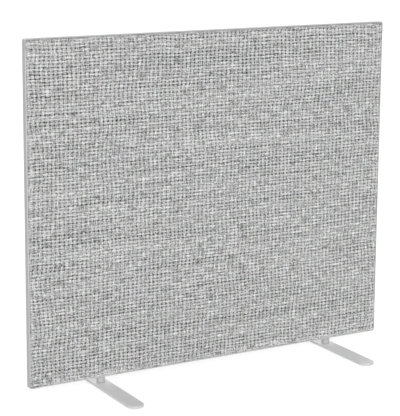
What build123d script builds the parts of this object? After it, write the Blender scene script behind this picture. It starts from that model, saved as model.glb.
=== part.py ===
from build123d import *
import os

# Acoustic divider screen: a fabric-covered absorber panel in a slim aluminium edge, on two flat swivelling feet.
# Millimetres. X runs along the panel, Y through its depth with the front towards -Y, and Z up from the floor.
# The origin is on the floor, midway along the panel and midway through its depth.

# Panel in elevation
panel_width = 1450.0
panel_height = 1200.0
corner_radius = 8.0

# Layers through the panel's depth, from the timber core out to the lips of the edge profile
core_thickness = 16.0
felt_thickness = 2.0
fabric_thickness = 0.8
lip_thickness = 1.2

# Edge profile: a shallow channel with a barbed tongue that presses into the timber
web_thickness = 1.5
lip_reach = 3.5
edge_radius = 1.8
tongue_thickness = 1.6
tongue_length = 10.0
barb_height = 0.6
barb_length = 2.2
barb_count = 3
corner_arm = 35.0
edge_joint_gap = 0.3
groove_clearance = 0.1
tongue_end_clearance = 1.0

# Timber frame and its dowels
stile_width = 45.0
top_rail_width = 45.0
bottom_rail_width = 70.0
dowel_diameter = 8.0
dowel_length = 40.0
dowel_chamfer = 1.0
dowel_spacing = 16.0
dowel_clearance = 0.1
dowel_end_clearance = 0.5

# Absorber slabs and the fabric's turned edge
infill_clearance = 0.5
fabric_tuck_gap = 0.5

# Feet, their pads and where they stand along the panel
foot_length = 580.0
foot_width = 60.0
foot_thickness = 8.0
foot_edge_radius = 1.5
foot_chamfer = 0.5
left_foot_inset = 275.0
right_foot_inset = 220.0
pad_diameter = 38.0
pad_thickness = 2.0
pad_end_distance = 48.0

# Stand-off, friction washer, bolt and threaded insert at each foot
standoff_diameter = 30.0
standoff_height = 19.0
standoff_chamfer = 0.8
washer_diameter = 24.0
washer_thickness = 1.0
bolt_diameter = 8.0
bolt_length = 50.0
bolt_head_diameter = 16.0
bolt_head_rim = 0.3
bolt_head_recess = 0.3
bolt_end_chamfer = 0.8
bolt_socket_width = 5.0
bolt_socket_depth = 3.0
bolt_clearance = 0.2
swivel_clearance = 0.06
seat_clearance = 0.1
insert_diameter = 11.0
insert_length = 20.0
insert_chamfer = 0.6
insert_thread_clearance = 0.1
insert_fit_clearance = 0.1
insert_hole_spare = 5.0

# Depths, measured from the panel's middle plane
panel_depth = core_thickness + 2 * (felt_thickness + fabric_thickness + lip_thickness)
fabric_face = panel_depth / 2 - lip_thickness
groove_width = tongue_thickness + 2 * (barb_height + groove_clearance)
fabric_return = fabric_face - groove_width / 2 - fabric_tuck_gap

# Heights above the floor
foot_bottom = pad_thickness
foot_top = foot_bottom + foot_thickness
standoff_bottom = foot_top + washer_thickness
panel_bottom = standoff_bottom + standoff_height
panel_top = panel_bottom + panel_height
panel_middle = (panel_bottom + panel_top) / 2
bolt_bottom = foot_bottom + bolt_head_recess

# The timber frame lies inside the edge profile's web and the turned-in fabric
frame_inset = web_thickness + fabric_thickness
frame_width = panel_width - 2 * frame_inset
frame_height = panel_height - 2 * frame_inset
frame_bottom = panel_bottom + frame_inset
frame_top = panel_top - frame_inset
bottom_rail_top = frame_bottom + bottom_rail_width
top_rail_bottom = frame_top - top_rail_width
rail_length = frame_width - 2 * stile_width
bay_height = top_rail_bottom - bottom_rail_top
groove_depth = tongue_length + tongue_end_clearance

# Each foot's place along the panel
foot_places = {
    "left": left_foot_inset - panel_width / 2,
    "right": panel_width / 2 - right_foot_inset,
}
foot_points = [(foot_x, 0) for foot_x in foot_places.values()]

# Plane.XZ faces the front, so +1 offsets towards the front and -1 towards the rear
faces_of_panel = {"front": 1, "rear": -1}
sides_of_panel = {"left": -1, "right": 1}

os.makedirs("parts", exist_ok=True)


def save(piece, name):
    """Labels a finished piece and writes it."""
    piece.part.label = name
    export_step(piece.part, f"parts/{name}.step")


def panel_outline(inset):
    """The panel's rounded outline, seen from the front and drawn in by an inset."""
    with Locations((0, panel_middle)):
        RectangleRounded(panel_width - 2 * inset, panel_height - 2 * inset, corner_radius - inset)


def square_outline(inset, mode):
    """The same outline with sharp corners."""
    with Locations((0, panel_middle)):
        Rectangle(panel_width - 2 * inset, panel_height - 2 * inset, mode=mode)


# Edge profile


def channel_section():
    """The profile's web and lips, with the outer face on the sketch's X axis."""
    Rectangle(panel_depth, lip_reach, align=(Align.CENTER, Align.MAX))
    fillet(vertices().group_by(Axis.Y)[-1], edge_radius)
    with Locations((0, -web_thickness)):
        Rectangle(
            panel_depth - 2 * lip_thickness,
            lip_reach - web_thickness,
            align=(Align.CENTER, Align.MAX),
            mode=Mode.SUBTRACT,
        )


def tongue_section():
    """The tongue, with barbs that slope back from its tip so that it presses in and holds."""
    root, tip = tongue_thickness / 2, tongue_thickness / 2 + barb_height
    with Locations((0, -web_thickness)):
        Rectangle(tongue_thickness, tongue_length, align=(Align.CENTER, Align.MAX))
    for barb in range(barb_count):
        barb_end = web_thickness + tongue_length * (barb + 1) / barb_count
        with Locations((0, -barb_end)):
            Polygon((-tip, barb_length), (-root, 0), (root, 0), (tip, barb_length), align=None)


def section_plane(start, direction):
    """A plane square to a run of the edge, whose Y axis points out of the panel on a clockwise run."""
    return Plane(origin=start, x_dir=(0, 1, 0), z_dir=direction)


def edge_run(start, finish):
    """A straight length of profile between two points on the panel's outer edge."""
    run = Vector(*finish) - Vector(*start)
    with BuildPart() as profile:
        with BuildSketch(section_plane(start, run)):
            channel_section()
            tongue_section()
        extrude(amount=run.length)
    return profile


def edge_elbow(start, corner, finish):
    """A corner piece: the channel swept round the panel's corner, with a flat tongue along both arms."""
    with BuildPart() as elbow:
        with BuildLine(Plane.XZ) as path:
            FilletPolyline(start, corner, finish, radius=corner_radius)
        with BuildSketch(section_plane(path.line @ 0, path.line % 0)):
            channel_section()
        sweep(path=path.line)
        with BuildSketch(Plane.XZ):
            panel_outline(web_thickness)
            square_outline(web_thickness + tongue_length, Mode.SUBTRACT)
            with Locations(corner):
                Rectangle(2 * corner_arm, 2 * corner_arm, mode=Mode.INTERSECT)
        extrude(amount=tongue_thickness / 2, both=True)
    return elbow


def bolt_holes(diameter, bottom, height):
    """Upright holes above both feet."""
    with BuildSketch(Plane.XY.offset(bottom)) as holes:
        with Locations(*foot_points):
            Circle(diameter / 2)
    extrude(holes.sketch, amount=height, mode=Mode.SUBTRACT)


right, top, bottom = panel_width / 2, panel_top, panel_bottom
run_right = right - corner_arm - edge_joint_gap
run_top = top - corner_arm - edge_joint_gap
run_bottom = bottom + corner_arm + edge_joint_gap

save(edge_run((-run_right, 0, top), (run_right, 0, top)), "top_edge_profile")
save(edge_run((right, 0, run_top), (right, 0, run_bottom)), "right_edge_profile")
save(edge_run((-right, 0, run_bottom), (-right, 0, run_top)), "left_edge_profile")

# The bottom length is drilled for the bolts, and its tongue is notched where it would meet the inserts
bottom_edge = edge_run((run_right, 0, bottom), (-run_right, 0, bottom))
with BuildPart() as bottom_edge_profile:
    add(bottom_edge.part)
    bolt_holes(bolt_diameter + 2 * bolt_clearance, panel_bottom, web_thickness)
    bolt_holes(insert_diameter + 2 * bolt_clearance, panel_bottom + web_thickness, tongue_length)
save(bottom_edge_profile, "bottom_edge_profile")

corner_pieces = {
    "top_left": edge_elbow((-right, top - corner_arm), (-right, top), (corner_arm - right, top)),
    "top_right": edge_elbow((right - corner_arm, top), (right, top), (right, top - corner_arm)),
    "bottom_right": edge_elbow((right, bottom + corner_arm), (right, bottom), (right - corner_arm, bottom)),
    "bottom_left": edge_elbow((corner_arm - right, bottom), (-right, bottom), (-right, bottom + corner_arm)),
}
for place, elbow in corner_pieces.items():
    save(elbow, f"{place}_corner_piece")

# Timber frame: full-height stiles, rails between them and a middle stile, all grooved round the outside

groove_middle = groove_depth / 2
top_dowel_height = (top_rail_bottom + frame_top) / 2 - groove_middle
bottom_dowel_height = (frame_bottom + bottom_rail_top) / 2 + groove_middle
dowel_offsets = (-dowel_spacing / 2, dowel_spacing / 2)
rail_dowels = [
    Location((side * rail_length / 2, 0, height + offset), (0, 90, 0))
    for side in sides_of_panel.values()
    for height in (bottom_dowel_height, top_dowel_height)
    for offset in dowel_offsets
]
middle_stile_dowels = [
    Location((offset, 0, height)) for height in (bottom_rail_top, top_rail_bottom) for offset in dowel_offsets
]
dowel_places = rail_dowels + middle_stile_dowels


def timber(width, height, centre):
    """A frame member: its rectangle trimmed to the frame's outline, grooved and drilled for its dowels."""
    with BuildPart() as member:
        with BuildSketch(Plane.XZ):
            panel_outline(frame_inset)
            with Locations(centre):
                Rectangle(width, height, mode=Mode.INTERSECT)
        extrude(amount=core_thickness / 2, both=True)
        with BuildSketch(Plane.XZ):
            square_outline(frame_inset, Mode.ADD)
            square_outline(frame_inset + groove_depth, Mode.SUBTRACT)
        extrude(amount=groove_width / 2, both=True, mode=Mode.SUBTRACT)
        with Locations(*dowel_places):
            Cylinder(
                dowel_diameter / 2 + dowel_clearance,
                dowel_length + 2 * dowel_end_clearance,
                mode=Mode.SUBTRACT,
            )
    return member


for side, sign in sides_of_panel.items():
    stile_x = sign * (frame_width - stile_width) / 2
    save(timber(stile_width, frame_height, (stile_x, panel_middle)), f"{side}_stile")
save(timber(stile_width, bay_height, (0, (bottom_rail_top + top_rail_bottom) / 2)), "middle_stile")
save(timber(rail_length, top_rail_width, (0, (top_rail_bottom + frame_top) / 2)), "top_rail")

bottom_timber = timber(rail_length, bottom_rail_width, (0, (frame_bottom + bottom_rail_top) / 2))
with BuildPart() as bottom_rail:
    add(bottom_timber.part)
    bolt_holes(insert_diameter + 2 * insert_fit_clearance, frame_bottom, insert_length + insert_hole_spare)
save(bottom_rail, "bottom_rail")

with BuildPart() as frame_dowels:
    with Locations(*dowel_places):
        Cylinder(dowel_diameter / 2, dowel_length)
    chamfer(edges().filter_by(GeomType.CIRCLE), dowel_chamfer)
save(frame_dowels, "frame_dowels")

# Absorber slabs in the two bays, standing on the bottom rail

bay_width = (rail_length - stile_width) / 2
slab_height = bay_height - infill_clearance
for side, sign in sides_of_panel.items():
    with BuildPart() as absorber_slab:
        with BuildSketch(Plane.XZ):
            with Locations((sign * (stile_width + bay_width) / 2, bottom_rail_top + slab_height / 2)):
                Rectangle(bay_width - 2 * infill_clearance, slab_height)
        extrude(amount=core_thickness / 2, both=True)
    save(absorber_slab, f"{side}_absorber_slab")

# Felt facings, and fabric covers turned in over the frame's edge as far as the groove

for face, sign in faces_of_panel.items():
    with BuildPart() as felt_facing:
        with BuildSketch(Plane.XZ.offset(sign * core_thickness / 2)):
            panel_outline(frame_inset)
        extrude(amount=sign * felt_thickness)
    save(felt_facing, f"{face}_felt_facing")

    with BuildPart() as fabric_cover:
        with BuildSketch(Plane.XZ.offset(sign * fabric_face)):
            panel_outline(web_thickness)
        extrude(amount=-sign * fabric_return)
        open_side = faces().filter_by(Axis.Y).sort_by(Axis.Y)[-1 if face == "front" else 0]
        offset(amount=-fabric_thickness, openings=open_side)
        bolt_holes(bolt_diameter + 2 * bolt_clearance, panel_bottom, frame_inset)
    save(fabric_cover, f"{face}_fabric_cover")

# Feet: flat bars with full-round ends, countersunk from below for the swivel bolt, on two rubber pads

for side, foot_x in foot_places.items():
    with BuildPart() as foot:
        with BuildSketch(Plane.XY.offset(foot_bottom)):
            with Locations((foot_x, 0)):
                SlotOverall(foot_length, foot_width, rotation=90)
        extrude(amount=foot_thickness)
        fillet(edges().group_by(Axis.Z)[-1], foot_edge_radius)
        chamfer(edges().group_by(Axis.Z)[0], foot_chamfer)
        with Locations(Plane(origin=(foot_x, 0, foot_bottom), z_dir=(0, 0, -1))):
            CounterSinkHole(
                bolt_diameter / 2 + swivel_clearance,
                bolt_head_diameter / 2 + bolt_head_rim + bolt_head_recess + seat_clearance,
                counter_sink_angle=90,
            )
    save(foot, f"{side}_foot")

    with BuildPart() as foot_pads:
        with BuildSketch():
            with Locations((foot_x, 0)):
                with GridLocations(0, foot_length - 2 * pad_end_distance, 1, 2):
                    Circle(pad_diameter / 2)
        extrude(amount=pad_thickness)
    save(foot_pads, f"{side}_foot_pads")

    with BuildPart() as standoff:
        with BuildSketch(Plane.XY.offset(standoff_bottom)):
            with Locations((foot_x, 0)):
                Circle(standoff_diameter / 2)
                Circle(bolt_diameter / 2 + bolt_clearance, mode=Mode.SUBTRACT)
        extrude(amount=standoff_height)
        outer_rims = edges().filter_by(GeomType.CIRCLE).group_by(SortBy.RADIUS)[-1]
        chamfer(outer_rims, standoff_chamfer)
    save(standoff, f"{side}_standoff")

with BuildPart() as swivel_washers:
    with BuildSketch(Plane.XY.offset(foot_top)):
        with Locations(*foot_points):
            Circle(washer_diameter / 2)
            Circle(bolt_diameter / 2 + bolt_clearance, mode=Mode.SUBTRACT)
    extrude(amount=washer_thickness)
save(swivel_washers, "swivel_washers")

# Threaded inserts, flush with the frame's lower edge

with BuildPart() as threaded_inserts:
    with BuildSketch(Plane.XY.offset(frame_bottom)):
        with Locations(*foot_points):
            Circle(insert_diameter / 2)
            Circle(bolt_diameter / 2 + insert_thread_clearance, mode=Mode.SUBTRACT)
    extrude(amount=insert_length)
    outer_rims = edges().filter_by(GeomType.CIRCLE).group_by(SortBy.RADIUS)[-1]
    chamfer(outer_rims, insert_chamfer)
save(threaded_inserts, "threaded_inserts")

# Countersunk bolts, up through each foot, washer and stand-off into its insert

shank_radius, head_radius = bolt_diameter / 2, bolt_head_diameter / 2
head_height = bolt_head_rim + head_radius - shank_radius
with BuildPart() as foot_bolts:
    for foot_x in foot_places.values():
        with BuildSketch(Plane(origin=(foot_x, 0, bolt_bottom), x_dir=(1, 0, 0), z_dir=(0, -1, 0))):
            with BuildLine():
                Polyline(
                    (0, 0),
                    (head_radius, 0),
                    (head_radius, bolt_head_rim),
                    (shank_radius, head_height),
                    (shank_radius, bolt_length - bolt_end_chamfer),
                    (shank_radius - bolt_end_chamfer, bolt_length),
                    (0, bolt_length),
                    close=True,
                )
            make_face()
        revolve(axis=Axis((foot_x, 0, 0), (0, 0, 1)))
        with BuildSketch(Plane.XY.offset(bolt_bottom)):
            with Locations((foot_x, 0)):
                RegularPolygon(bolt_socket_width / 2, side_count=6, major_radius=False)
        extrude(amount=bolt_socket_depth, mode=Mode.SUBTRACT)
save(foot_bolts, "foot_bolts")
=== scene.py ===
"""Looks of the acoustic divider screen, in metres: woven covers, an aluminium edge and powder-coated feet."""
import math

import bpy
import numpy as np
from mathutils import Matrix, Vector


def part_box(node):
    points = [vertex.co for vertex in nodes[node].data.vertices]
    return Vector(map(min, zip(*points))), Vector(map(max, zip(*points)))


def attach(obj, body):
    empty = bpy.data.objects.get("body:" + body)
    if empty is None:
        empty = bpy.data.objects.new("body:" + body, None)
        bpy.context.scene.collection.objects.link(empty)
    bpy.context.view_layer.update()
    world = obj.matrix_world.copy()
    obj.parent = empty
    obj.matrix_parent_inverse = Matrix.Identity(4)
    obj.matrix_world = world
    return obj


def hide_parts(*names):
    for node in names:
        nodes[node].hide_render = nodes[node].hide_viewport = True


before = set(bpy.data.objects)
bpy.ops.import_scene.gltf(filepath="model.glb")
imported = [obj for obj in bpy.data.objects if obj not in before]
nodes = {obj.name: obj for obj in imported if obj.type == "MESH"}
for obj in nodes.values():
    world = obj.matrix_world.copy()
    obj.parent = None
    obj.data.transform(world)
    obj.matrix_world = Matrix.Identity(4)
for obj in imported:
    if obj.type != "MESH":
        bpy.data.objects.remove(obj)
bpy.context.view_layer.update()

MM = 0.001

# Camera, at the photograph's viewpoint: yaw from +Y towards +X, then down, then about the line of sight
CAMERA_PLACE = (-2.6805, -4.5658, 1.7363)
CAMERA_YAW, CAMERA_PITCH, CAMERA_ROLL = 29.915, 10.657, 0.377
CAMERA_LENS = 130.53
CAMERA_SHIFT = -0.10

# Light. A sun has its strength, then its yaw, height and softness in degrees
WORLD_LIGHT = 0.72
KEY_SUN = (1.48, -25.0, 32.0, 60.0)
FILL_SUN = (0.60, 155.0, 40.0, 60.0)
FLOOR_HALF = 20.0
FLOOR_DIFFUSE, FLOOR_GLOW = 0.45, 0.64

# The covers' weave: how many yarns, what part of its pitch a yarn fills, and how the surface rises and falls
WARP_YARNS, WEFT_YARNS = 88, 98
WARP_FILL, WEFT_FILL = 0.78, 0.73
CRIMP = 0.42 * MM
YARN_BULGE = 0.50 * MM
GAP_LEVEL = -0.45 * MM

# How a cover meets the edge: flat under the lip, then up to full relief, and free to wander further in
COVER_CORNER = 6.5 * MM
LIP_GAP = 0.05 * MM
UNDER_LIP = 2.2 * MM
FULL_RELIEF = 5.5 * MM
WANDER_REACH = 14 * MM
BOW_REACH = 60 * MM

# Edge profile: its lips' rounded part, where a highlight is painted, as distances from the panel's middle
# plane
LIP_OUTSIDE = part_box("left_edge_profile")[1].y
LIP_INSIDE = LIP_OUTSIDE - 1.8 * MM

# Feet: the height of their tops, how far below it the painted light on their sides starts and is full, and
# how strong it is
FOOT_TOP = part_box("left_foot")[1].z
PAINTED_SIDE_LIGHT_START, PAINTED_SIDE_LIGHT_FULL = 0.2 * MM, 1.2 * MM
FOOT_SIDE_PAINTED_LIGHT = 0.65


def grey(level):
    """A grey as red, green and blue."""
    return (level, level, level)


def add_object(name, data):
    """A new object in the scene that holds the data."""
    made = bpy.data.objects.new(name, data)
    bpy.context.scene.collection.objects.link(made)
    return made


# Camera, light and floor


def add_camera():
    """The camera, with the photograph's frame."""
    data = bpy.data.cameras.new("camera")
    data.lens = CAMERA_LENS
    data.shift_y = CAMERA_SHIFT
    camera = add_object("camera", data)
    turn = Matrix.Rotation(-math.radians(CAMERA_YAW), 4, "Z")
    tilt = Matrix.Rotation(math.radians(90 - CAMERA_PITCH), 4, "X")
    roll = Matrix.Rotation(math.radians(CAMERA_ROLL), 4, "Z")
    camera.matrix_world = Matrix.Translation(CAMERA_PLACE) @ turn @ tilt @ roll
    bpy.context.scene.camera = camera


def background_rays(tree):
    """1 for a ray that shows the background itself: from the camera, a reflection or through glass."""
    path = tree.nodes.new("ShaderNodeLightPath")
    total = path.outputs["Is Camera Ray"]
    for ray in ("Is Glossy Ray", "Is Transmission Ray"):
        either = tree.nodes.new("ShaderNodeMath")
        either.operation = "MAXIMUM"
        tree.links.new(total, either.inputs[0])
        tree.links.new(path.outputs[ray], either.inputs[1])
        total = either.outputs[0]
    return total


def add_world():
    """A white surrounding, plain white behind the object and a little dimmer as light."""
    world = bpy.data.worlds.new("studio")
    bpy.context.scene.world = world
    world.use_nodes = True
    tree = world.node_tree
    strength = tree.nodes.new("ShaderNodeMapRange")
    strength.inputs["To Min"].default_value = WORLD_LIGHT
    tree.links.new(background_rays(tree), strength.inputs["Value"])
    back = tree.nodes["Background"]
    back.inputs["Color"].default_value = (1, 1, 1, 1)
    tree.links.new(strength.outputs["Result"], back.inputs["Strength"])


def add_sun(name, strength, yaw, height, softness):
    """A broad soft sun. Yaw goes from the front towards the right, and height is above the horizon."""
    data = bpy.data.lights.new(name, "SUN")
    data.energy = strength
    data.angle = math.radians(softness)
    lamp = add_object(name, data)
    turn = Matrix.Rotation(math.radians(yaw), 4, "Z")
    tilt = Matrix.Rotation(math.radians(90 - height), 4, "X")
    lamp.matrix_world = turn @ tilt


def add_floor():
    """A wide white floor that keeps the object's shadow."""
    mesh = bpy.data.meshes.new("floor")
    corners = [(x * FLOOR_HALF, y * FLOOR_HALF, 0) for x, y in ((-1, -1), (1, -1), (1, 1), (-1, 1))]
    mesh.from_pydata(corners, [], [(0, 1, 2, 3)])
    floor = add_object("floor", mesh)
    material = bpy.data.materials.new("floor")
    material.use_nodes = True
    tree = material.node_tree
    tree.nodes.clear()
    paint = tree.nodes.new("ShaderNodeBsdfDiffuse")
    paint.inputs["Color"].default_value = (*grey(FLOOR_DIFFUSE), 1)
    glow = tree.nodes.new("ShaderNodeEmission")
    strength = tree.nodes.new("ShaderNodeMath")
    strength.operation = "MULTIPLY"
    strength.inputs[1].default_value = FLOOR_GLOW
    tree.links.new(background_rays(tree), strength.inputs[0])
    tree.links.new(strength.outputs[0], glow.inputs["Strength"])
    both = tree.nodes.new("ShaderNodeAddShader")
    tree.links.new(paint.outputs[0], both.inputs[0])
    tree.links.new(glow.outputs[0], both.inputs[1])
    out = tree.nodes.new("ShaderNodeOutputMaterial")
    tree.links.new(both.outputs[0], out.inputs["Surface"])
    mesh.materials.append(material)


# Node trees

# Most of a noise lies between these
NOISE_LOW, NOISE_HIGH = 0.3, 0.7

# Tone that painted highlights on metal lips and painted light on the feet's sides go towards
PAINTED_LIGHT_TONE = 0.80


class Field:
    """A value in a material's node tree, which takes plain arithmetic."""

    def __init__(self, paint, socket):
        self.paint, self.socket = paint, socket

    def maths(self, operation, *others):
        """This value and others through one Math node."""
        return self.paint.maths(operation, self, *others)

    def __add__(self, other):
        return self.maths("ADD", other)

    def __sub__(self, other):
        return self.maths("SUBTRACT", other)

    def __rsub__(self, other):
        return self.paint.maths("SUBTRACT", other, self)

    def __mul__(self, other):
        return self.maths("MULTIPLY", other)

    def __truediv__(self, other):
        return self.maths("DIVIDE", other)

    def __abs__(self):
        return self.maths("ABSOLUTE")

    def floor(self):
        """The whole number below."""
        return self.maths("FLOOR")

    def step_up(self, low, high):
        """0 below low, 1 above high, and smooth between."""
        return self.paint.ramp(self, low, high, smooth=True)

    def rise_from(self, start, near, far):
        """start below near, 1 above far, and smooth between."""
        return self.paint.ramp(self, near, far, start, 1.0, smooth=True)

    def mixed(self, other, share):
        """This value and another, in which the other has a fixed share from 0 to 1."""
        return self * (1 - share) + other * share

    def between(self, first, second):
        """first where this value is 0, second where it is 1, and in proportion between."""
        return first + (second - first) * self


class Paint:
    """A material on one Principled shader, with short calls for its nodes."""

    def __init__(self, name, **shader_values):
        self.material = bpy.data.materials.new(name)
        self.material.use_nodes = True
        self.tree = self.material.node_tree
        self.shader = self.tree.nodes["Principled BSDF"]
        for socket, value in shader_values.items():
            self.shader.inputs[socket.replace("_", " ")].default_value = value

    def feed(self, socket, value):
        """Links a field to a socket, or sets a plain value on it."""
        if isinstance(value, Field):
            self.tree.links.new(value.socket, socket)
        else:
            socket.default_value = value

    def node(self, kind, inputs, output=0, **settings):
        """A new node with its settings and inputs, as the field at one of its outputs."""
        made = self.tree.nodes.new("ShaderNode" + kind)
        for name, value in settings.items():
            setattr(made, name, value)
        for name, value in inputs.items():
            self.feed(made.inputs[name], value)
        return Field(self, made.outputs[output])

    def maths(self, operation, *values):
        """The result of one Math node."""
        return self.node("Math", dict(enumerate(values)), operation=operation)

    def ramp(self, value, low, high, to_low=0.0, to_high=1.0, smooth=False):
        """to_low where the value is at low or beyond it, to_high at high or beyond, and even between."""
        inputs = {"Value": value, "From Min": low, "From Max": high, "To Min": to_low, "To Max": to_high}
        return self.node("MapRange", inputs, interpolation_type="SMOOTHSTEP" if smooth else "LINEAR")

    def parts(self, vector):
        """A vector's three values."""
        split = self.tree.nodes.new("ShaderNodeSeparateXYZ")
        self.feed(split.inputs[0], vector)
        return [Field(self, out) for out in split.outputs]

    def vector(self, x, y, z):
        """A vector of three values."""
        return self.node("CombineXYZ", {"X": x, "Y": y, "Z": z})

    def coordinates(self, kind="Object"):
        """A surface point's coordinates. A piece sits at the origin, so Object ones are places at rest."""
        return self.node("TexCoord", {}, output=kind)

    def stretched(self, *rates):
        """Object coordinates in metres, times a rate per metre along each axis."""
        return self.vector(*(place * rate for place, rate in zip(self.parts(self.coordinates()), rates)))

    def noise(self, vector, scale=1.0, detail=2.0, roughness=0.5, distortion=0.0):
        """Noise from 0 to 1 about a middle of 0.5."""
        inputs = {"Vector": vector, "Scale": scale, "Detail": detail, "Roughness": roughness}
        inputs["Distortion"] = distortion
        return self.node("TexNoise", inputs)

    def colour(self, share, *stops):
        """The shader's colour, from evenly spaced stops."""
        ramp = self.tree.nodes.new("ShaderNodeValToRGB")
        points = ramp.color_ramp.elements
        while len(points) < len(stops):
            points.new(0.5)
        for i, stop in enumerate(stops):
            points[i].position = i / (len(stops) - 1)
            points[i].color = (*stop, 1)
        self.feed(ramp.inputs[0], share)
        self.tree.links.new(ramp.outputs[0], self.shader.inputs["Base Color"])

    def grey_with_painted_light(self, pattern, painted_light, tone, spread):
        """A grey within spread of its tone. A pattern takes the first half of its stops, painted light the
        second.
        """
        stops = (grey(tone - spread), grey(tone + spread), grey(PAINTED_LIGHT_TONE))
        self.colour(pattern.mixed(painted_light, share=0.5), *stops)

    def rough(self, pattern, middle, spread):
        """Roughness that follows a noise, within spread of its middle."""
        roughness = self.ramp(pattern, NOISE_LOW, NOISE_HIGH, middle - spread, middle + spread)
        self.feed(self.shader.inputs["Roughness"], roughness)

    def bump(self, height, depth, strength):
        """Bump whose height of 0 to 1 is depth metres."""
        inputs = {"Height": height, "Distance": depth, "Strength": strength}
        self.feed(self.shader.inputs["Normal"], self.node("Bump", inputs))


# Woven fabric

# Noises over the weave. Each has a rate per yarn along the warp count and along the weft count, and a level
# of its own in the noise. A low rate makes a long mark, and one of several makes neighbouring yarns differ.
# A nip belongs to a row or column of gaps, where it thins the yarns and makes the painted shade deeper and
# the gaps darker.
FUZZ = (6.0, 6.0, 5.0)
ROW_NIP, COLUMN_NIP = (0.03, 3.71, 44.3), (4.13, 0.34, 47.0)
WARP_SLUB, WEFT_SLUB = (7.31, 0.45, 3.0), (0.45, 5.77, 9.0)
LEVEL_STRAND, UPRIGHT_STRAND = (0.36, 4.1, 17.0), (3.7, 0.45, 19.0)
WARP_STREAK, WEFT_STREAK = (3.17, 0.33, 21.0), (0.03, 4.39, 33.0)
MOTTLE_RATES = (2.9, 4.2)
GAP_CHANCE_LEVEL = 2.0

# How far those noises move a yarn's outline, in yarns
FUZZ_REACH = 0.16
SLUB_SWELL = 0.15
COLUMN_PINCH, ROW_PINCH = 0.15, 0.20

# Heights, in yarn bulges. A yarn drops away between two shares of its half width, one yarn gives way to the
# other within a small difference of height, and painted shade darkens the colour on the way down to the gaps.
CREST = 1 + CRIMP / YARN_BULGE
YARN_SIDE, YARN_DROP = (0.92, 1.12), 3
CROSSING = 0.12
LIT_HEIGHT, UNLIT_HEIGHT = 1.40, -0.2
GAP_BOTTOM, GAP_TOP = -1.6, -0.2
BUMP_FLOOR = -1.0

# Tones of the two sets of yarns, and how much of each noise goes into them
WARP_TONE, WEFT_TONE = 0.56, 0.59
WARP_LEVEL, WEFT_LEVEL = 1.0, 1.5
WARP_UPRIGHT, WEFT_UPRIGHT = 1.1, 0.4
MOTTLING = 1.5
WARP_STREAKING, WEFT_STREAKING = 0.2, 0.45
FABRIC_STOPS = [grey(level) for level in (0.02, 0.27, 0.52, 0.77, 0.95)]

# Painted shade on the lower places: a share of the depth that follows the nip of rows and, less, of columns
NIP_LOW, NIP_HIGH, NIP_RANGE = 0.62, 1.02, 0.13
COLUMN_SHARE = 0.2
GAP_TONE, GAP_RANGE, GAP_ROW_SHARE = 0.22, 1.5, 4

# Beside the lips, in yarns from the outline: how much of the painted depth shade and of the light is left,
# and how far in.
# The light left there is painted shade under the lips.
SIDE_PRESS, BOTTOM_PRESS, TOP_PRESS = 0.80, 0.42, 0.70
PRESS_REACH = (0.9, 1.8)
EDGE_LIGHT, EDGE_REACH = 0.78, (0.12, 0.62)
TOP_LIGHT, TOP_REACH = 0.88, (0.5, 1.3)

# Fibres: rates per yarn across a yarn, for their twist along it and for their run along it
FIBRE_RATE, FIBRE_TWIST, FIBRE_RUN = 20.0, 9.0, 3.0
FIBRE_SHADE = 0.9


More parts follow.
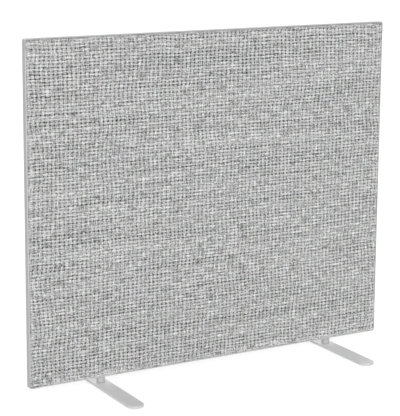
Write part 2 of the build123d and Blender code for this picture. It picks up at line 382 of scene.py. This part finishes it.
class WovenPaint(Paint):
    """Plain weave of grey yarns, dark between them. The UV map counts yarns: warp along U, weft along V."""

    def __init__(self, name, **shader_values):
        super().__init__(name, **shader_values)
        self.warp, self.weft, _ = self.parts(self.coordinates("UV"))
        self.column, self.row = self.warp.floor(), self.weft.floor()
        self.gap_column, self.gap_row = (self.warp + 0.5).floor(), (self.weft + 0.5).floor()
        self.across_warp, self.across_weft = self.warp - self.column - 0.5, self.weft - self.row - 0.5
        self.parity = (self.column + self.row).maths("PINGPONG", 1.0)
        self.row_nip = self.drift(self.warp, self.gap_row, *ROW_NIP)
        self.column_nip = self.drift(self.gap_column, self.weft, *COLUMN_NIP)

    def drift(self, warp, weft, warp_rate, weft_rate, level, detail=1.0):
        """Noise about 0 that follows two yarn counts."""
        return self.noise(self.vector(warp * warp_rate, weft * weft_rate, level), detail=detail) - 0.5

    def yarn_height(self, reach, lift):
        """Height of a round yarn at reach, a share of its half width, with its middle lift crimps up."""
        side = reach.step_up(*YARN_SIDE) * YARN_DROP
        return lift * (CRIMP / YARN_BULGE) + (1 - reach * reach).maths("SQRT") - side

    def yarn_heights(self):
        """Heights of warp and weft, whose yarns have fuzz and slubs and are thinned by the nips."""
        fuzz = self.drift(self.warp, self.weft, *FUZZ, detail=2.0) * FUZZ_REACH
        warp_slub = self.drift(self.column, self.weft, *WARP_SLUB)
        weft_slub = self.drift(self.warp, self.row, *WEFT_SLUB)
        warp_half = warp_slub * SLUB_SWELL - self.column_nip * COLUMN_PINCH + WARP_FILL / 2
        weft_half = weft_slub * SLUB_SWELL - self.row_nip * ROW_PINCH + WEFT_FILL / 2
        warp_reach = (abs(self.across_warp) + fuzz) / warp_half
        weft_reach = (abs(self.across_weft) - fuzz) / weft_half
        over = 1 - self.parity * 2
        warp_lift = over * (self.across_weft * math.pi).maths("COSINE")
        weft_lift = over * -1 * (self.across_warp * math.pi).maths("COSINE")
        return self.yarn_height(warp_reach, warp_lift), self.yarn_height(weft_reach, weft_lift)

    def yarn_tones(self):
        """Tones of warp and weft: strands that run on from float to float, and streaks in whole yarns."""
        level = self.drift(self.warp, self.weft, *LEVEL_STRAND)
        upright = self.drift(self.warp, self.weft, *UPRIGHT_STRAND)
        mottle = self.drift(self.warp, self.weft, *MOTTLE_RATES, self.parity) * MOTTLING
        warp_streak = self.drift(self.column, self.weft, *WARP_STREAK) * WARP_STREAKING
        weft_streak = self.drift(self.warp, self.row, *WEFT_STREAK) * WEFT_STREAKING
        warp_tone = level * WARP_LEVEL + upright * WARP_UPRIGHT + mottle + warp_streak + WARP_TONE
        weft_tone = level * WEFT_LEVEL + upright * WEFT_UPRIGHT + mottle + weft_streak + WEFT_TONE
        return warp_tone, weft_tone

    def gap_tone(self):
        """Tone at the bottom of each gap, by chance, and lighter in rows with little nip: partly the dark
        felt behind, partly painted shade.
        """
        place = self.vector(self.gap_column, self.gap_row, GAP_CHANCE_LEVEL)
        chance = self.node("TexWhiteNoise", {"Vector": place})
        return self.ramp(chance - self.row_nip * GAP_ROW_SHARE, 0.0, GAP_RANGE, 0.0, GAP_TONE)

    def beside_lips(self):
        """Shares left beside the lips: of the painted depth shade, as they press the yarns together, and of
        the light, as painted shade under the lips.
        """
        inside_warp = WARP_YARNS / 2 - abs(self.warp - WARP_YARNS / 2)
        inside_weft = WEFT_YARNS / 2 - abs(self.weft - WEFT_YARNS / 2)
        below_top = WEFT_YARNS - self.weft
        side_press = inside_warp.rise_from(SIDE_PRESS, *PRESS_REACH)
        bottom_press = self.weft.rise_from(BOTTOM_PRESS, *PRESS_REACH)
        top_press = below_top.rise_from(TOP_PRESS, *PRESS_REACH)
        pressed = side_press.maths("MINIMUM", bottom_press).maths("MINIMUM", top_press)
        edge_light = inside_warp.maths("MINIMUM", inside_weft).rise_from(EDGE_LIGHT, *EDGE_REACH)
        top_light = below_top.rise_from(TOP_LIGHT, *TOP_REACH)
        return pressed, edge_light, top_light

    def fibres(self, weft_shows):
        """Fibres, twisted round whichever yarn shows."""
        across_warp = self.across_warp * FIBRE_RATE + self.weft * FIBRE_TWIST
        across_weft = self.across_weft * FIBRE_RATE + self.warp * FIBRE_TWIST
        warp_place = self.vector(across_warp, self.weft * FIBRE_RUN, self.column)
        weft_place = self.vector(across_weft, self.warp * FIBRE_RUN, self.row)
        places = {"Factor": weft_shows, "A": warp_place, "B": weft_place}
        return self.noise(self.node("Mix", places, output=1, data_type="VECTOR"), roughness=0.65)


def fabric_paint():
    """The covers' cloth: matt, with a little sheen."""
    shine = {"Roughness": 0.9, "Sheen_Weight": 0.08, "Sheen_Roughness": 0.5, "Specular_IOR_Level": 0.2}
    paint = WovenPaint("woven_fabric", **shine)
    warp_height, weft_height = paint.yarn_heights()
    weft_shows = (weft_height - warp_height).step_up(-CROSSING, CROSSING)
    top = warp_height.maths("MAXIMUM", weft_height)
    pressed, edge_light, top_light = paint.beside_lips()

    # Painted shade: the lower the surface, the darker its colour, more so in some rows and columns than in
    # others
    nips = paint.row_nip.mixed(paint.column_nip, share=COLUMN_SHARE)
    nipped = paint.ramp(nips, -NIP_RANGE, NIP_RANGE, NIP_LOW, NIP_HIGH)
    depth = paint.ramp(top, LIT_HEIGHT, UNLIT_HEIGHT) * nipped
    yarns = weft_shows.between(*paint.yarn_tones()) * (1 - depth * pressed)
    # The gaps: partly the dark felt behind, partly painted shade
    gap = (1 - top.step_up(GAP_BOTTOM, GAP_TOP)) * pressed
    tone = gap.between(yarns, paint.gap_tone())

    fibres = paint.fibres(weft_shows)
    fibre_shade = fibres * FIBRE_SHADE + (1 - FIBRE_SHADE / 2)
    # The edge and top shares of light are painted shade beside and under the lips
    paint.colour(tone * fibre_shade * edge_light * top_light, *FABRIC_STOPS)
    relief = paint.ramp(top, BUMP_FLOOR, CREST)
    paint.bump(relief.mixed(fibres, share=0.2), depth=1.0 * MM, strength=0.7)
    return paint.material


# Woven covers

STEPS_PER_YARN = 3
TURN_STEPS = 3
FRONT_SEED, REAR_SEED = 11, 12

# Noises that swell or shift the yarns. Each has how far it goes, in yarns, and how many yarns lie between its
# random values along the warp count and the weft count. One with a step past the end is even that way.
PAST_END = 200
WARP_SWELL, WEFT_SWELL = (0.16, 1, 4), (0.16, 4, 1)
COLUMN_BOW, ROW_BOW = (0.75, PAST_END, 5), (0.75, 5, PAST_END)
COLUMN_JITTER, COLUMN_WANDER = (0.09, 1.7, 5), (0.40, 22, 9)
ROW_JITTER, ROW_WANDER = (0.06, 5, 1.7), (0.14, 12, 25)


def value_noise(rng, u, v, most, u_step, v_step):
    """Smooth noise from -most to most on a grid of places, with a random value every u_step and v_step."""
    u, v = u / u_step, v / v_step
    grid = rng.uniform(-1, 1, (int(v.max()) + 2, int(u.max()) + 2))
    i, j = v.astype(int), u.astype(int)
    a, b = v - i, u - j
    a, b = a * a * (3 - 2 * a), b * b * (3 - 2 * b)
    low = grid[i, j] * (1 - b) + grid[i, j + 1] * b
    high = grid[i + 1, j] * (1 - b) + grid[i + 1, j + 1] * b
    return most * (low * (1 - a) + high * a)


def weave_relief(u, v, warp_swell, weft_swell):
    """Height of the weave's surface above the middle of the cloth. A swell widens its yarns by that share."""
    column, row = np.floor(u), np.floor(v)

    def yarn(place, index, fill, centre_line):
        reach = np.abs(place - index - 0.5) / (fill / 2)
        body = centre_line + YARN_BULGE * np.sqrt(np.clip(1 - reach**2, 0, None))
        return np.where(reach < 1, body, GAP_LEVEL)

    warp_line = CRIMP * (1 - 2 * (column % 2)) * np.sin(np.pi * v)
    weft_line = -CRIMP * (1 - 2 * (row % 2)) * np.sin(np.pi * u)
    warp = yarn(u, column, WARP_FILL * (1 + warp_swell), warp_line)
    weft = yarn(v, row, WEFT_FILL * (1 + weft_swell), weft_line)
    return np.maximum(warp, weft)


def yarn_lines(count, lip):
    """Yarn counts at which the cover's mesh has a line: the yarns' steps, and one just inside each lip."""
    steps = np.arange(count * STEPS_PER_YARN + 1) / STEPS_PER_YARN
    return np.sort(np.append(steps, (lip, count - lip)))


def round_corners(x, z, half_width, half_height):
    """Draws a rectangle's corners in, so that its outline is rounded. Sizes are from its middle."""
    a = np.clip(np.abs(x) - (half_width - COVER_CORNER), 0, None)
    b = np.clip(np.abs(z) - (half_height - COVER_CORNER), 0, None)
    far = np.hypot(a, b)
    draw = np.divide(np.maximum(a, b), far, out=np.ones_like(far), where=far > 0)
    x = np.sign(x) * (np.abs(x) - a + a * draw)
    z = np.sign(z) * (np.abs(z) - b + b * draw)
    return x, z


def cover_face(rng, width, height):
    """A cover's face on a grid: yarn counts u and v, places x and z from its middle, and the relief there."""
    pitch_u, pitch_v = width / WARP_YARNS, height / WEFT_YARNS
    warp_lines = yarn_lines(WARP_YARNS, UNDER_LIP / pitch_u)
    weft_lines = yarn_lines(WEFT_YARNS, UNDER_LIP / pitch_v)
    u, v = np.meshgrid(warp_lines, weft_lines)
    x, z = (u - WARP_YARNS / 2) * pitch_u, (v - WEFT_YARNS / 2) * pitch_v
    past_lip = np.minimum(width / 2 - np.abs(x), height / 2 - np.abs(z)) - UNDER_LIP
    rise = np.clip(past_lip / (FULL_RELIEF - UNDER_LIP), 0, 1)
    warp_swell = value_noise(rng, u, v, *WARP_SWELL)
    weft_swell = value_noise(rng, u, v, *WEFT_SWELL)
    relief = rise * weave_relief(u, v, warp_swell, weft_swell)

    free = np.clip(past_lip / WANDER_REACH, 0, 1)
    bow_x = value_noise(rng, u, v, *COLUMN_BOW) * np.exp((np.abs(x) - width / 2) / BOW_REACH)
    bow_z = value_noise(rng, u, v, *ROW_BOW) * np.exp((np.abs(z) - height / 2) / BOW_REACH)
    shift_x = bow_x + value_noise(rng, u, v, *COLUMN_JITTER) + value_noise(rng, u, v, *COLUMN_WANDER)
    shift_z = bow_z + value_noise(rng, u, v, *ROW_JITTER) + value_noise(rng, u, v, *ROW_WANDER)
    x, z = round_corners(x + pitch_u * free * shift_x, z + pitch_v * free * shift_z, width / 2, height / 2)
    return u, v, x, z, relief


def turn_in(points, counts, rim, depths):
    """Adds a ring of points at each depth behind the rim. Returns points and counts, and the new quads."""
    rim_points, rim_counts = points[rim], counts[rim]
    quads = []
    last = rim
    for y in depths:
        ring = rim_points.copy()
        ring[:, 1] = y
        here = len(points) + np.arange(len(rim))
        points = np.concatenate((points, ring))
        counts = np.concatenate((counts, rim_counts))
        quads.append(np.stack((np.roll(last, -1), last, here, np.roll(here, -1)), -1))
        last = here
    return points, counts, np.concatenate(quads)


def cloth(name, points, counts, quads, paint):
    """A mesh object whose UV map holds the yarn counts."""
    mesh = bpy.data.meshes.new(name)
    mesh.from_pydata(points.tolist(), [], quads.tolist())
    mesh.shade_smooth()
    uv = mesh.uv_layers.new(name="yarns")
    uv.data.foreach_set("uv", counts[quads.ravel()].astype(np.float32).ravel())
    mesh.materials.append(paint)
    return add_object(name, mesh)


def woven_cover(name, node, face, seed, paint):
    """A cover with woven relief, turned in round its edge. face is -1 at the front and 1 at the rear."""
    low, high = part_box(node)
    middle = (low + high) / 2
    width, height, depth = high.x - low.x, high.z - low.z, high.y - low.y
    outer = high.y if face > 0 else low.y

    u, v, x, z, relief = cover_face(np.random.default_rng(seed), width, height)
    y = outer + face * (relief - LIP_GAP)
    points = np.stack((x + middle.x, y, z + middle.z), -1).reshape(-1, 3)
    counts = np.stack((u, v), -1).reshape(-1, 2)
    index = np.arange(u.size).reshape(u.shape)
    quads = np.stack((index[:-1, :-1], index[:-1, 1:], index[1:, 1:], index[1:, :-1]), -1).reshape(-1, 4)

    rim = np.concatenate((index[0, :-1], index[:-1, -1], index[-1, :0:-1], index[:0:-1, 0]))
    turned = LIP_GAP + (depth - LIP_GAP) * np.arange(1, TURN_STEPS + 1) / TURN_STEPS
    points, counts, edge_quads = turn_in(points, counts, rim, outer - face * turned)
    quads = np.concatenate((quads, edge_quads))
    if face > 0:
        quads = quads[:, ::-1]

    cover = cloth(name, points, counts, quads, paint)
    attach(cover, "screen")
    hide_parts(node)


# Other finishes

# Rates per metre of drawn lines, along them and across them
ALONG_LINES, ACROSS_LINES = 4.0, 2600.0

# Rates per metre of wood grain, and how many rings and fine lines one change of grain holds
ALONG_GRAIN, ACROSS_GRAIN = 2.2, 38.0
RINGS, FINE_LINES = 9.0, 30

# How much wider a plain surface's clouds of tone are than its grain
CLOUD_WIDTH = 20

# Rates per metre of the fibres, along each axis
FELT_RATES = (900, 900, 900)
WOOL_RATES = (240, 1500, 240)

# Colour stops, from dark to light
FELT = (grey(0.14), grey(0.30), grey(0.44))
WOOL = ((0.26, 0.21, 0.10), (0.50, 0.44, 0.27), (0.70, 0.66, 0.50))
PINE = ((0.42, 0.26, 0.12), (0.66, 0.47, 0.27), (0.78, 0.62, 0.40))
BEECH = ((0.50, 0.33, 0.20), (0.68, 0.49, 0.32), (0.76, 0.60, 0.42))
BRASS = ((0.56, 0.40, 0.15), (0.68, 0.52, 0.24), (0.78, 0.64, 0.34))
ZINC = ((0.44, 0.45, 0.47), (0.54, 0.55, 0.57), (0.64, 0.65, 0.66))
NYLON = ((0.70, 0.70, 0.67), (0.78, 0.78, 0.75), (0.84, 0.84, 0.82))
RUBBER = (grey(0.025), grey(0.045), grey(0.075))


def metal_paint(name, tone, painted_light, rates):
    """Satin metal with a highlight painted on its lips. rates are those of its fine lines along each axis."""
    paint = Paint(name, Metallic=0.35)
    drawn = paint.noise(paint.stretched(*rates), detail=3.0)
    clouds = paint.noise(paint.coordinates(), scale=9.0)
    from_middle = abs(paint.parts(paint.coordinates())[1])
    # Painted highlight on the fronts and rounded arrises of the lips
    painted_light_share = from_middle.step_up(LIP_INSIDE, LIP_OUTSIDE) * painted_light
    paint.grey_with_painted_light(drawn.mixed(clouds, share=0.4), painted_light_share, tone, spread=0.03)
    paint.rough(drawn, middle=0.45, spread=0.05)
    paint.bump(drawn, depth=0.02 * MM, strength=0.3)
    return paint.material


def powder_coat_paint(name, tone):
    """Satin silver powder coat: fine flakes and the faintest orange peel, a foot's sides painted lighter as
    painted light.
    """
    paint = Paint(name, Metallic=0.10, Specular_IOR_Level=0.9)
    flakes = paint.noise(paint.coordinates(), scale=1400.0, detail=1.0)
    clouds = paint.noise(paint.coordinates(), scale=14.0)
    height = paint.parts(paint.coordinates())[2]
    # Painted light: the foot's sides, below its top, are painted lighter
    painted_light_share = paint.ramp(height, FOOT_TOP - PAINTED_SIDE_LIGHT_FULL, FOOT_TOP - PAINTED_SIDE_LIGHT_START, FOOT_SIDE_PAINTED_LIGHT, 0.0, smooth=True)
    peel = paint.noise(paint.coordinates(), scale=420.0, detail=1.0)
    paint.grey_with_painted_light(flakes.mixed(clouds, share=0.5), painted_light_share, tone, spread=0.06)
    paint.rough(clouds, middle=0.42, spread=0.04)
    paint.bump(peel, depth=0.03 * MM, strength=0.3)
    return paint.material


def fibre_paint(name, stops, rates, depth):
    """Pressed or needled fibres at rates per metre along each axis, with a relief of depth."""
    paint = Paint(name, Roughness=0.95, Specular_IOR_Level=0.1)
    strands = paint.noise(paint.stretched(*rates), detail=4.0, roughness=0.7, distortion=0.6)
    clumps = paint.noise(paint.coordinates(), scale=30.0)
    paint.colour(strands.mixed(clumps, share=0.3), *stops)
    paint.bump(strands, depth, strength=0.8)
    return paint.material


def wood_paint(name, stops, along):
    """Planed wood with its grain along one axis, 0 for X and 2 for Z."""
    paint = Paint(name, Roughness=0.6)
    rates = [ACROSS_GRAIN] * 3
    rates[along] = ALONG_GRAIN
    grain = paint.noise(paint.stretched(*rates), detail=3.0, distortion=1.2)
    rings = (grain * RINGS).maths("FRACT")
    fine = paint.noise(paint.stretched(*(rate * FINE_LINES for rate in rates)))
    paint.colour(rings.mixed(fine, share=0.4), *stops)
    paint.bump(rings.mixed(fine, share=0.7), depth=0.1 * MM, strength=0.4)
    return paint.material


def plain_paint(name, stops, roughness, scale, depth, **shader_values):
    """A moulded or plated surface: slight clouds of tone over fine grain."""
    paint = Paint(name, **shader_values)
    grain = paint.noise(paint.coordinates(), scale=scale)
    clouds = paint.noise(paint.coordinates(), scale=scale / CLOUD_WIDTH)
    paint.colour(grain.mixed(clouds, share=0.5), *stops)
    paint.rough(clouds, roughness, spread=0.06)
    paint.bump(grain, depth, strength=0.5)
    return paint.material


def dress(paint, *names):
    """Gives CAD nodes a material in place of the one they came with."""
    for name in names:
        for slot in nodes[name].material_slots:
            slot.material = paint


def dress_edge():
    """Aluminium for the edge: the lengths have lines along them, and the cast corner pieces an even grain."""
    level = (ALONG_LINES, ACROSS_LINES, ACROSS_LINES)
    upright = (ACROSS_LINES, ACROSS_LINES, ALONG_LINES)
    even = (ACROSS_LINES, ACROSS_LINES, ACROSS_LINES)
    corners = [f"{end}_{side}_corner_piece" for end in ("top", "bottom") for side in ("left", "right")]
    # One aluminium in lit and shaded copies: painted shade darkens the top length, painted light brightens
    # the bottom one, and the lips' painted highlight differs in strength by piece
    dress(metal_paint("aluminium_top_painted_shade", tone=0.41, painted_light=0.15, rates=level), "top_edge_profile")
    dress(metal_paint("aluminium_bottom_painted_light", tone=0.58, painted_light=0.85, rates=level), "bottom_edge_profile")
    uprights = metal_paint("aluminium_upright", tone=0.45, painted_light=0.95, rates=upright)
    dress(uprights, "left_edge_profile", "right_edge_profile")
    dress(metal_paint("aluminium_cast", tone=0.46, painted_light=0.35, rates=even), *corners)


def dress_feet():
    """Powder coat for the feet and, darkened as painted shade, the same coat for the stand-offs."""
    dress(powder_coat_paint("silver_powder_coat", tone=0.62), "left_foot", "right_foot")
    dress(powder_coat_paint("silver_powder_coat_painted_shade", tone=0.51), "left_standoff", "right_standoff")


def dress_inside():
    """Felt, mineral fibre and wood for what the covers hold."""
    felt = fibre_paint("felt", FELT, FELT_RATES, depth=0.4 * MM)
    wool = fibre_paint("mineral_fibre", WOOL, WOOL_RATES, depth=0.8 * MM)
    dress(felt, "front_felt_facing", "rear_felt_facing")
    dress(wool, "left_absorber_slab", "right_absorber_slab")
    dress(wood_paint("pine_upright", PINE, along=2), "left_stile", "right_stile", "middle_stile")
    dress(wood_paint("pine_level", PINE, along=0), "top_rail", "bottom_rail")
    dress(wood_paint("beech", BEECH, along=0), "frame_dowels")


def dress_small_pieces():
    """Brass, zinc, nylon and rubber for what joins the feet to the panel and stands on the floor."""
    plated = {"roughness": 0.42, "scale": 900, "depth": 0.02 * MM, "Metallic": 1.0}
    rubber = plain_paint("rubber", RUBBER, roughness=0.75, scale=1200, depth=0.08 * MM)
    dress(plain_paint("brass", BRASS, **plated), "threaded_inserts")
    dress(plain_paint("zinc", ZINC, **plated), "foot_bolts")
    dress(plain_paint("nylon", NYLON, roughness=0.45, scale=700, depth=0.02 * MM), "swivel_washers")
    dress(rubber, "left_foot_pads", "right_foot_pads")


add_camera()
add_world()
add_sun("key", *KEY_SUN)
add_sun("fill", *FILL_SUN)
add_floor()
bpy.context.scene.view_settings.view_transform = "Standard"

fabric = fabric_paint()
woven_cover("front_woven_cover", "front_fabric_cover", -1, FRONT_SEED, fabric)
woven_cover("rear_woven_cover", "rear_fabric_cover", 1, REAR_SEED, fabric)

dress_edge()
dress_feet()
dress_inside()
dress_small_pieces()
